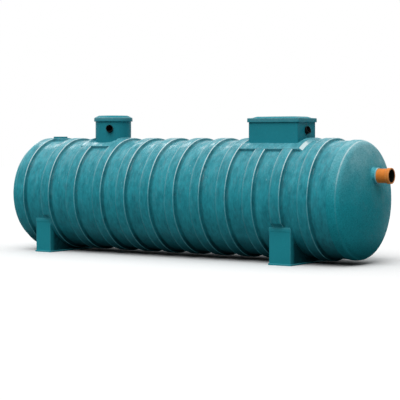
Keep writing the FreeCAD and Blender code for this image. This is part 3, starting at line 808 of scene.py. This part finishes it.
# %% Duct stubs
duct_wall = 0.005
mounts = {mount["name"]: mount for mount in frame["record"]["mounts"]}
for name, node, mount, wall in (("manhole_duct_stub", "manhole_duct", "manhole_duct_way", manhole_neck),
                                ("hatch_duct_stub", "hatch_duct", "hatch_duct_way", hatch_box)):
    mouth = Vector(mounts[mount]["pos_m"])
    facing = Vector(mounts[mount]["axis"]).normalized()
    length = mounts[mount]["dims"]["length_mm"] / 1000
    bore = mounts[mount]["dims"]["r_mm"] / 1000
    rows = rounded([
        (-length, bore, 0.001, 0),
        (0, bore, 0.002, 0.4),
        (0, bore + duct_wall, 0.002, 1),
        (-length, bore + duct_wall, 0.001, 0),
    ])
    points, rings, marks = turned(refined(rows, 0.02, closed=True), bore_steps)
    to_place = Matrix.Translation(mouth) @ facing.to_track_quat("X", "Z").to_matrix().to_4x4()
    piece(name, [to_place @ Vector(point) for point in points], joined(rings), [node], marks)
    core, rings = rod(-length, 0, bore + duct_wall - 0.001)
    bored(wall, [to_place @ Vector(point) for point in core], rings)

# %% [markdown]
# A saddle is a moulded block whose top is hollowed to the barrel, with a lip along that top edge. Its
# outline in plan is a rectangle, but every point's height depends on how far it stands from the middle,
# because the barrel's underside rises there. So the rings are drawn flat and each is lifted to a round
# of its own radius. Points that face each other across the block are joined to close the top and the
# bottom.

# %% Stacks of equal rings
side_steps = 14
corner_steps = 6


def saddle_ring(middle, half_x, half_y, corner):
    return oblong(middle, half_x, half_y, corner, side_steps, corner_steps)


def under_barrel(flat, height_radius):
    """Heights of a round of this radius under the axis, at plan points."""
    return axis_height - np.sqrt(height_radius ** 2 - flat[:, 1] ** 2)


def lid_of(points, ring):
    """Close a ring of an oblong with rows of faces across it. Gives the new points and the faces.

    Each row runs from a point on the ring's right half to its mirror image on the left, with points between.
    The new points are numbered on from the points there are.
    """
    right = range(2 * corner_steps + side_steps + 1)
    extra = []
    rows = []
    for step in right:
        near = ring[step]
        far = ring[len(ring) - side_steps - step]
        if step == 0:
            between_them = [ring[len(ring) - part] for part in range(1, side_steps)]
        elif step == right[-1]:
            between_them = [ring[step + part] for part in range(1, side_steps)]
        else:
            between_them = []
            for part in range(1, side_steps):
                between_them.append(len(points) + len(extra))
                extra.append(points[near] + (points[far] - points[near]) * part / side_steps)
        rows.append([near] + between_them + [far])
    faces = [[here[part], here[part + 1], there[part + 1], there[part]]
             for here, there in zip(rows, rows[1:]) for part in range(side_steps)]
    return extra, faces


def stacked(levels):
    """Closed mesh from levels of equal rings, with its bottom and top closed across."""
    count = len(levels[0])
    points = np.vstack(levels)
    rings = [list(range(row * count, row * count + count)) for row in range(len(levels))]
    faces = joined(rings, closed=False)
    for ring in (rings[0], rings[-1]):
        extra, across = lid_of(points, ring)
        points = np.vstack((points, extra))
        faces += across
    return points, faces


print("a saddle's ring has", 4 * (side_steps + corner_steps), "points")

# %% [markdown]
# The block's upright corners are marked pale as a painted highlight, and its sides under the belly are
# marked dark as painted shade. Each saddle stands on a thin plate with a rounded upper edge.

# %% Saddles and base plates
lip = 0.007
lip_height = 0.028
lip_round = 0.003
lip_under = shell_radius + lip_height
for word in ("left", "right"):
    low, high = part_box(word + "_saddle")
    middle = ((low.x + high.x) / 2, 0)
    half_x = (high.x - low.x) / 2 - lip
    half_y = high.y - lip
    block = saddle_ring(middle, half_x, half_y, 0.012)
    proud = saddle_ring(middle, half_x + lip, half_y + lip, 0.017)
    soft = saddle_ring(middle, half_x + lip - lip_round, half_y + lip - lip_round, 0.014)
    levels = [(block, np.full(len(block), low.z), 0.2)]
    top_of_wall = under_barrel(block, lip_under) - 0.006
    for share in (0.01, 0.25, 0.5, 0.75, 1):
        levels.append((block, low.z + (top_of_wall - low.z) * share, 0))
    levels.append((soft, under_barrel(soft, lip_under) - lip_round, 0))
    levels.append((proud, under_barrel(proud, lip_under) + 0.001, 0.3))
    levels.append((proud, under_barrel(proud, shell_radius + 0.004), 0.8))
    levels.append((soft, under_barrel(soft, shell_radius + 0.001), 0.6))
    levels.append((block, under_barrel(block, shell_radius - 0.005), 0))
    points, faces = stacked([np.column_stack((flat, height)) for flat, height, _ in levels])
    marks = np.zeros(len(points))
    # Painted shade on the sides under the belly (mark below zero), painted highlight on the upright corners.
    shaded_side = np.abs(block[:, 1]) < half_y - 0.02
    corner_highlight = ~shaded_side & (np.abs(block[:, 0] - middle[0]) > half_x - 0.011)
    marks[:len(block) * len(levels)] = np.concatenate([
        np.where(shaded_side, -1, np.where(corner_highlight, max(mark, 0.65), mark)) for _, _, mark in levels])
    piece(word + "_saddle_block", points, faces, [word + "_saddle"], marks)

    low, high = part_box(word + "_base_plate")
    half_x = (high.x - low.x) / 2
    levels = [
        (-0.001, 0, 0),
        (0, 0.002, 0),
        (0, high.z - 0.009, 0.5),
        (-0.002, high.z - 0.004, 1),
        (-0.006, high.z - 0.001, 0.8),
        (-0.010, high.z, 0.2),
    ]
    points, faces = stacked([
        np.column_stack((saddle_ring(middle, half_x + out, high.y + out, 0.026 + out),
                         np.full(len(block), height))) for out, height, _ in levels])
    marks = np.zeros(len(points))
    marks[:len(block) * len(levels)] = np.repeat([mark for _, _, mark in levels], len(block))
    piece(word + "_foot_plate", points, faces, [word + "_base_plate"], marks)

# %% [markdown]
# Materials come next. A finish is written as arithmetic: noise times an amount, plus a level, one minus
# a mask. One small class wraps a node's socket so that such a line of Python adds the Math nodes it
# needs, and one method adds any other node.


# %% Arithmetic on sockets
class Wire:
    """A socket in a material, on which sums can be written."""

    def __init__(self, socket):
        self.socket = socket

    def node(self, kind, settings=None, output=0, **sockets):
        """Add a node: first its settings, then the values or links of its sockets, by name or by _number."""
        made = self.socket.id_data.nodes.new(kind)
        for key, value in (settings or {}).items():
            setattr(made, key, value)
        for key, value in sockets.items():
            spot = made.inputs[int(key[1:]) if key.startswith("_") else key.replace("_", " ")]
            if isinstance(value, Wire):
                self.socket.id_data.links.new(value.socket, spot)
            else:
                spot.default_value = value
        return Wire(made.outputs[output])

    def maths(self, operation, first, second):
        return self.node("ShaderNodeMath", {"operation": operation}, _0=first, _1=second)

    def __add__(self, other):
        return self.maths("ADD", self, other)

    def __radd__(self, other):
        return self.maths("ADD", other, self)

    def __sub__(self, other):
        return self.maths("SUBTRACT", self, other)

    def __rsub__(self, other):
        return self.maths("SUBTRACT", other, self)

    def __mul__(self, other):
        return self.maths("MULTIPLY", self, other)

    def __rmul__(self, other):
        return self.maths("MULTIPLY", other, self)

    def noise(self, scale, detail, roughness, stretch=(1, 1, 1)):
        """Noise about zero, over a place that is stretched first."""
        place = self.node("ShaderNodeVectorMath", {"operation": "MULTIPLY"}, _0=self, _1=stretch)
        made = place.node("ShaderNodeTexNoise", Vector=place, Scale=scale, Detail=detail, Roughness=roughness)
        return made - 0.5

    def blend(self, first, second):
        """Colour between two colours, by this factor."""
        return self.node("ShaderNodeMix", {"data_type": "RGBA"}, output=2, _0=self, _6=first, _7=second)

    def limited(self, low, high):
        return self.node("ShaderNodeClamp", Value=self, Min=low, Max=high)


def new_finish(name):
    """A material with a Principled shader. Gives both, and the place and the mark on the object."""
    material = bpy.data.materials.new(name)
    material.use_nodes = True
    shader = material.node_tree.nodes["Principled BSDF"]
    place = Wire(material.node_tree.nodes.new("ShaderNodeTexCoord").outputs["Object"])
    mark = place.node("ShaderNodeAttribute", {"attribute_name": "pale_edge"}, output=2)
    return material, shader, place, mark


def feed(shader, **wires):
    for key, wire in wires.items():
        shader.id_data.links.new(wire.socket, shader.inputs[key.replace("_", " ")])


print("sums on sockets are ready")

# %% [markdown]
# Gelcoat is pigmented resin, brushed or sprayed on. On the barrel it was dabbed on round the hoops,
# which leaves short strokes: noise whose place is stretched along X gives those, over larger mottling.
# On heads and turrets it was sprayed, which leaves clouds and a coarse grain. A paler tint over the upper
# half, mottled and streaked, is a painted sheen where light glances off the top. Marked corners turn pale,
# almost white on the hoops' crests and more so toward the top: partly worn gelcoat, partly a painted
# highlight. Darker colour in the hoops' right feet, at the collars' rims, on the saddles' sides and under
# the belly is painted shade, and the gelcoat is duller there. The resin has little shine in itself.
# Patches of it still have their gloss where rain washes them, so a clear coat comes and goes with a
# noise of its own.

# %% Gelcoat
# The two paler teals below colour marked corners: partly worn gelcoat, partly a painted highlight.
worn_highlight_teal = (0.72, 0.88, 0.90, 1)
rubbed_highlight_teal = (0.02, 0.50, 0.60, 1)
# This paler teal is a painted sheen over the upper half.
sheen_teal = (0.50, 0.78, 0.84, 1)
sheltered_height = 0.55
# These set where and how darkly painted shade falls under the belly and at marks below zero.
belly_shade_height = 0.40
shade_darkness = 0.2


def gelcoat(name, deep, pale, strokes, clouds, grain, sheen_amount, soil, edge_wear_and_highlight, dullness, peel, gloss, shine):
    """Finish between a deep and a pale colour; the other values say how much there is of each thing."""
    material, shader, place, mark = new_finish(name)
    height_up = place.node("ShaderNodeSeparateXYZ", output=2, Vector=place)
    above_shelter = height_up - sheltered_height
    # Height mask for the painted highlights on marked corners, which grow toward the top.
    highlight_by_height = above_shelter.limited(0.35, 1)
    washed = above_shelter.limited(0, 1)
    # Height mask for the painted sheen, rising over the upper half.
    crown = (1.05 * height_up - 0.8).limited(0, 1)

    dabbed = place.noise(1.0, 3, 0.6, (38, 12, 12))
    mottled = place.noise(1.0, 4, 0.6, (9, 4.5, 4.5))
    cloud = place.noise(1.6, 4, 0.6)
    fine = place.noise(52, 2, 0.6)
    tone = 0.5 + strokes * (dabbed + 0.9 * mottled) + clouds * cloud + grain * fine
    colour = tone.limited(0, 1).blend((*deep, 1), (*pale, 1))

    # Painted sheen: a pale tint and short pale streaks over the upper half stand in for light off the top.
    painted_sheen = sheen_amount * crown * crown * (1 + 2.5 * mottled + grain * fine)
    painted_glints = strokes * (5.0 * place.noise(1.0, 2, 0.5, (55, 17, 17)) - 0.9) * crown
    colour = (painted_sheen + painted_glints.limited(0, 0.3)).limited(0, 0.6).blend(colour, sheen_teal)

    # Pale marked corners: partly worn gelcoat, partly a painted highlight that whitens toward the top.
    edge = mark.limited(0, 1)
    edge = edge * edge * edge * highlight_by_height * (1.0 + 2.4 * place.noise(24, 4, 0.65))
    colour = (edge * edge_wear_and_highlight).limited(0, 1).blend(colour, highlight_by_height.blend(rubbed_highlight_teal, worn_highlight_teal))

    # Painted shade: marks below zero (hoop feet, collar rims, saddle sides) and the band under the belly.
    marked_shade = -1 * mark * (0.9 + place.noise(12, 3, 0.6))
    painted_shade = (marked_shade + soil * (belly_shade_height - height_up).limited(0, 1)).limited(0, 0.9)
    colour = painted_shade.blend(colour, (*[shade_darkness * value for value in deep], 1))

    rough = dullness + 0.2 * strokes * dabbed + 0.2 * cloud + 0.6 * painted_shade
    height = 0.5 * strokes * dabbed + peel * fine + 0.35 * place.noise(9, 3, 0.5)
    normal = height.node("ShaderNodeBump", Strength=0.5, Distance=0.0030, Height=height)
    patches = gloss * washed * (0.1 + 6.0 * place.noise(1.0, 4, 0.65, (16, 4, 4)))
    feed(shader, Base_Color=colour, Roughness=rough.limited(0.2, 1), Normal=normal,
         Coat_Weight=patches.limited(0, 1))
    shader.inputs["Specular IOR Level"].default_value = shine
    shader.inputs["Coat Roughness"].default_value = 0.16
    print(name, "has", len(material.node_tree.nodes), "nodes")
    return material


# soil sets the painted shade under the belly; edge and sheen amounts set painted highlights and sheen.
shell_dabbed = gelcoat("shell gelcoat, dabbed", (0.012, 0.190, 0.243), (0.032, 0.410, 0.495),
                       strokes=1.4, clouds=0.35, grain=0.3, sheen_amount=0.15, soil=3.0, edge_wear_and_highlight=1.25,
                       dullness=0.38, peel=0.4, gloss=0.8, shine=0.06)
shell_sprayed = gelcoat("shell gelcoat, sprayed", (0.006, 0.205, 0.258), (0.022, 0.440, 0.525),
                        strokes=0.10, clouds=0.4, grain=1.5, sheen_amount=0.40, soil=2.0, edge_wear_and_highlight=0.8,
                        dullness=0.55, peel=2.2, gloss=0.3, shine=0.04)
fitting_sprayed = gelcoat("fitting gelcoat", (0.018, 0.210, 0.262), (0.028, 0.335, 0.405),
                          strokes=0.08, clouds=0.5, grain=0.25, sheen_amount=0, soil=0, edge_wear_and_highlight=0.15,
                          dullness=0.42, peel=0.5, gloss=0.05, shine=0.03)
saddle_sprayed = gelcoat("saddle gelcoat", (0.012, 0.215, 0.265), (0.022, 0.350, 0.420),
                         strokes=0.08, clouds=0.6, grain=0.25, sheen_amount=0, soil=0, edge_wear_and_highlight=0.8,
                         dullness=0.45, peel=0.6, gloss=0, shine=0.08)

# %% [markdown]
# The drain pipe is orange-brown plastic, drawn through a die, so faint lines run along it, and soil has
# dulled it in patches. Its bore is painted near black, as shade down the tube. The ducts are black
# plastic with scuffs on the cut end.

# %% Pipe and duct plastic
bore_shade_black = (0.008, 0.009, 0.008, 1)


def plastic(name, deep, pale, scuffed, stretch, dullness, wear, shine):
    """Finish between two colours, scuffed where marks are above zero and painted shade-black where below."""
    material, shader, place, mark = new_finish(name)
    drawn = place.noise(1.0, 3, 0.5, stretch)
    soil = place.noise(14, 4, 0.65)
    colour = (0.5 + 0.5 * drawn + 1.1 * soil).limited(0, 1).blend((*deep, 1), (*pale, 1))
    colour = (mark * wear * (0.7 + place.noise(60, 3, 0.6))).limited(0, 1).blend(colour, (*scuffed, 1))
    # Painted shade: marks below zero turn the bore near black.
    colour = (-1 * mark).limited(0, 1).blend(colour, bore_shade_black)
    height = drawn + 0.5 * place.noise(120, 2, 0.5)
    normal = height.node("ShaderNodeBump", Strength=0.3, Distance=0.0008, Height=height)
    feed(shader, Base_Color=colour, Roughness=(dullness + 0.3 * soil).limited(0.2, 0.9), Normal=normal)
    shader.inputs["Specular IOR Level"].default_value = shine
    print(name, "has", len(material.node_tree.nodes), "nodes")
    return material


orange_plastic = plastic("drain pipe plastic", (0.68, 0.165, 0.018), (0.95, 0.320, 0.055), (0.92, 0.46, 0.16),
                         stretch=(3, 160, 160), dullness=0.45, wear=0.5, shine=0.15)
black_plastic = plastic("duct plastic", (0.003, 0.003, 0.003), (0.008, 0.008, 0.009), (0.03, 0.03, 0.033),
                        stretch=(30, 30, 30), dullness=0.55, wear=0.5, shine=0.12)

# %% [markdown]
# Each finish goes onto the pieces that had it in the workshop: the barrel and its collars were dabbed,
# heads, turrets and saddles were sprayed.

# %% Put the finishes on
finishes = {
    shell_dabbed: ["barrel_skin", "manhole_patch", "hatch_patch", "vent_patch"],
    shell_sprayed: ["left_head", "right_head", "inlet_moulded_boss"],
    fitting_sprayed: ["manhole_neck", "manhole_cover", "vent_cover", "hatch_box", "hatch_cover"],
    saddle_sprayed: ["left_saddle_block", "right_saddle_block", "left_foot_plate", "right_foot_plate"],
    orange_plastic: ["inlet_drain_pipe"],
    black_plastic: ["manhole_duct_stub", "hatch_duct_stub"],
}
for material, names in finishes.items():
    for name in names:
        bpy.data.objects[name].data.materials.clear()
        bpy.data.objects[name].data.materials.append(material)
print(len(finishes), "finishes on", sum(len(names) for names in finishes.values()), "pieces")

# %% [markdown]
# The tank stands on a plain pale floor under soft light, as under an overcast sky, which is brightest
# overhead and dim toward the horizon: that gives the shading round the barrel and the dark under its
# belly. A wide lamp above the front lifts the side that shows. A much weaker one stands high behind the
# left end, where its mirror image falls on the shoulders of the bays, so it adds gloss there and hardly
# any light.


# %% Lamps
def lamp(name, toward, energy, degrees):
    made = bpy.data.objects.new(name, bpy.data.lights.new(name, "SUN"))
    made.data.energy = energy
    made.data.angle = math.radians(degrees)
    made.rotation_euler = Vector(toward).to_track_quat("Z", "Y").to_euler()
    bpy.context.collection.objects.link(made)
    print(name, "stands toward", toward)


lamp("wide lamp", (0.11, -0.59, 0.80), energy=1.60, degrees=50)
lamp("gloss lamp", (-0.63, 0.45, 0.63), energy=0.16, degrees=15)

# %% [markdown]
# The background has to be white without lighting the tank any more. So the world and the floor are
# white only for the camera and in reflections, by the Light Path node, and the floor still takes the
# shadow. To the rays that only carry light, the world is an overcast sky and the floor is grey.

# %% Sky and floor
white = (1, 1, 1, 1)
black = (0, 0, 0, 1)
bright_sky = (1.2, 1.2, 1.2, 1)
floor_grey = (0.24, 0.24, 0.24, 1)
floor_radius = 70


def seen_in(tree):
    """1 for rays that the camera or a reflection sends out, and 0 for rays that only carry light."""
    path = tree.nodes.new("ShaderNodeLightPath")
    camera_ray, glossy_ray, clear_ray = [
        Wire(path.outputs["Is " + kind + " Ray"]) for kind in ("Camera", "Glossy", "Transmission")]
    return (camera_ray + glossy_ray + clear_ray).limited(0, 1)


world = bpy.data.worlds.new("studio")
world.use_nodes = True
bpy.context.scene.world = world
tree = world.node_tree
toward = Wire(tree.nodes.new("ShaderNodeTexCoord").outputs["Generated"])
overhead = toward.node("ShaderNodeSeparateXYZ", output=2, Vector=toward).limited(0, 1)
sky = (overhead * overhead).blend(black, bright_sky)
shown = seen_in(tree).blend(sky, white)
tree.links.new(shown.socket, tree.nodes["Background"].inputs["Color"])

points, rings, _ = turned([(0, 0, 0), (0, floor_radius, 0)], 96)
floor_mesh = bpy.data.meshes.new("floor")
floor_mesh.from_pydata([(across, up, along) for along, across, up in points], [], joined(rings, closed=False))
floor = bpy.data.objects.new("floor", floor_mesh)
bpy.context.collection.objects.link(floor)
floor_material = bpy.data.materials.new("pale floor")
floor_material.use_nodes = True
tree = floor_material.node_tree
tree.nodes.clear()
floor_colour = seen_in(tree).blend(floor_grey, white)
pale_floor = floor_colour.node("ShaderNodeBsdfDiffuse", Color=floor_colour)
tree.links.new(pale_floor.socket, tree.nodes.new("ShaderNodeOutputMaterial").inputs["Surface"])
floor_mesh.materials.append(floor_material)
bpy.context.scene.view_settings.view_transform = "Standard"
print("floor lies", floor_radius, "m round the tank")
